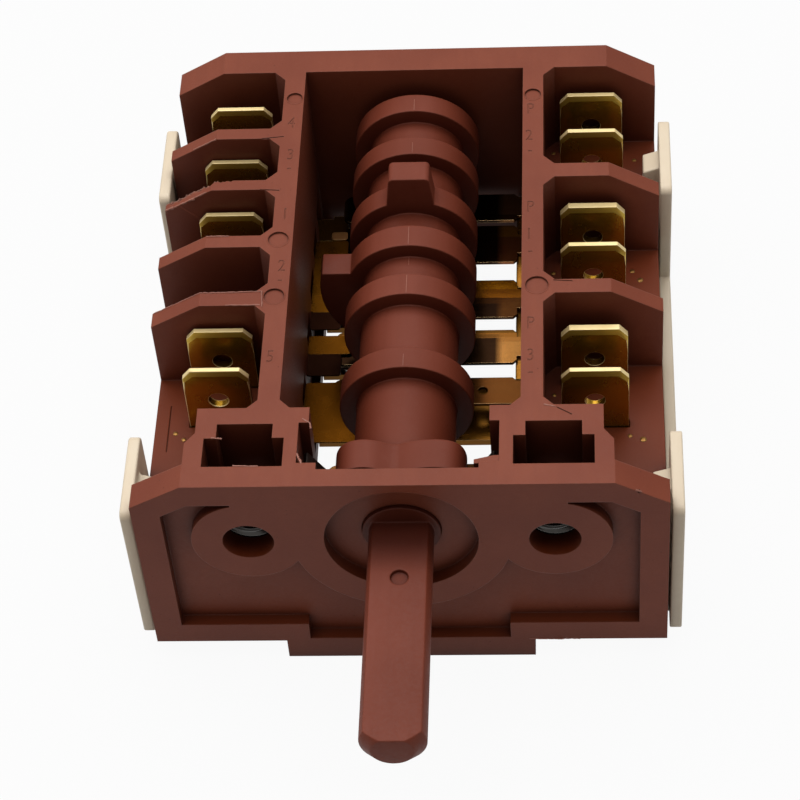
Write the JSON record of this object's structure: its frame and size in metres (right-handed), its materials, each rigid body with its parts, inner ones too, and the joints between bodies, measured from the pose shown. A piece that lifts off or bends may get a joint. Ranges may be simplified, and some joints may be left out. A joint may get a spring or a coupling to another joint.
{
  "type": "oven selector switch",
  "caption": "Rotary oven selector switch with a D spindle, an open camshaft between rows of push-on terminal blades, leaf contacts and clipped side covers.",
  "frame": {"origin": "where the spindle's axis crosses the plane of the front rim that seats on the oven's panel, midway between the two screw holes", "axes": "+X to the right seen from the knob's side, +Y into the switch away from the knob, +Z towards the tips of the terminal blades"},
  "size_m": [0.0514, 0.0795, 0.0276],
  "materials": {
    "brown_phenolic": "moulded thermoset, satin, slightly speckled",
    "brown_moulding": "moulded, satin, with a faint parting line",
    "cream_plastic": "smooth cream moulding",
    "zinc_steel": "bright zinc plate",
    "spring_steel": "rolled spring strip",
    "brass_strip": "stamped strip, dull with bright cut edges",
    "spring_bronze": "thin rolled spring strip",
    "contact_silver": "headed silver contact"
  },
  "bodies": {
    "switch_body": {"housing": "brown_phenolic", "side_cover_left": "cream_plastic", "side_cover_right": "cream_plastic", "line_terminal_rear": "brass_strip", "line_terminal_middle": "brass_strip", "line_terminal_front": "brass_strip", "load_terminal_1": "brass_strip", "load_terminal_2": "brass_strip", "load_terminal_3": "brass_strip", "blank_contact_4": "brass_strip", "load_terminal_5": "brass_strip", "load_terminal_6": "brass_strip", "fixed_buttons": "contact_silver", "panel_nuts": "zinc_steel", "detent_spring_left": "spring_steel", "detent_spring_right": "spring_steel"},
    "rotor": {"camshaft": "brown_moulding"},
    "blade_1": {"contact_blade_1": "spring_bronze", "contact_button_1": "contact_silver"},
    "blade_2": {"contact_blade_2": "spring_bronze", "contact_button_2": "contact_silver"},
    "blade_3": {"contact_blade_3": "spring_bronze", "contact_button_3": "contact_silver"},
    "blade_4": {"contact_blade_4": "spring_bronze", "contact_button_4": "contact_silver"},
    "blade_5": {"contact_blade_5": "spring_bronze", "contact_button_5": "contact_silver"},
    "blade_6": {"contact_blade_6": "spring_bronze", "contact_button_6": "contact_silver"}
  },
  "joints": [
    {"name": "camshaft_turn", "type": "hinge", "parent": "switch_body", "child": "rotor", "pos_m": [0, 0.02, 0], "axis": [0, 1, 0], "continuous": true, "deforming": ["detent_spring_left", "detent_spring_right"]},
    {"name": "blade_1_press", "type": "hinge", "parent": "switch_body", "child": "blade_1", "pos_m": [0.0106, 0.0513, -0.00995], "axis": [0, -1, 0], "range_deg": [0, 4.1], "stiffness_Nm_per_rad": 0.3},
    {"name": "blade_2_press", "type": "hinge", "parent": "switch_body", "child": "blade_2", "pos_m": [0.0106, 0.046, -0.00995], "axis": [0, -1, 0], "range_deg": [0, 4.1], "stiffness_Nm_per_rad": 0.3},
    {"name": "blade_3_press", "type": "hinge", "parent": "switch_body", "child": "blade_3", "pos_m": [0.0106, 0.0383, -0.00995], "axis": [0, -1, 0], "range_deg": [0, 4.1], "stiffness_Nm_per_rad": 0.3},
    {"name": "blade_4_press", "type": "hinge", "parent": "switch_body", "child": "blade_4", "pos_m": [0.0106, 0.0318, -0.00995], "axis": [0, -1, 0], "range_deg": [0, 4.1], "stiffness_Nm_per_rad": 0.3},
    {"name": "blade_5_press", "type": "hinge", "parent": "switch_body", "child": "blade_5", "pos_m": [0.0106, 0.02595, -0.00995], "axis": [0, -1, 0], "range_deg": [0, 4.1], "stiffness_Nm_per_rad": 0.3},
    {"name": "blade_6_press", "type": "hinge", "parent": "switch_body", "child": "blade_6", "pos_m": [0.0106, 0.0153, -0.00995], "axis": [0, -1, 0], "range_deg": [0, 4.1], "stiffness_Nm_per_rad": 0.3}
  ]
}
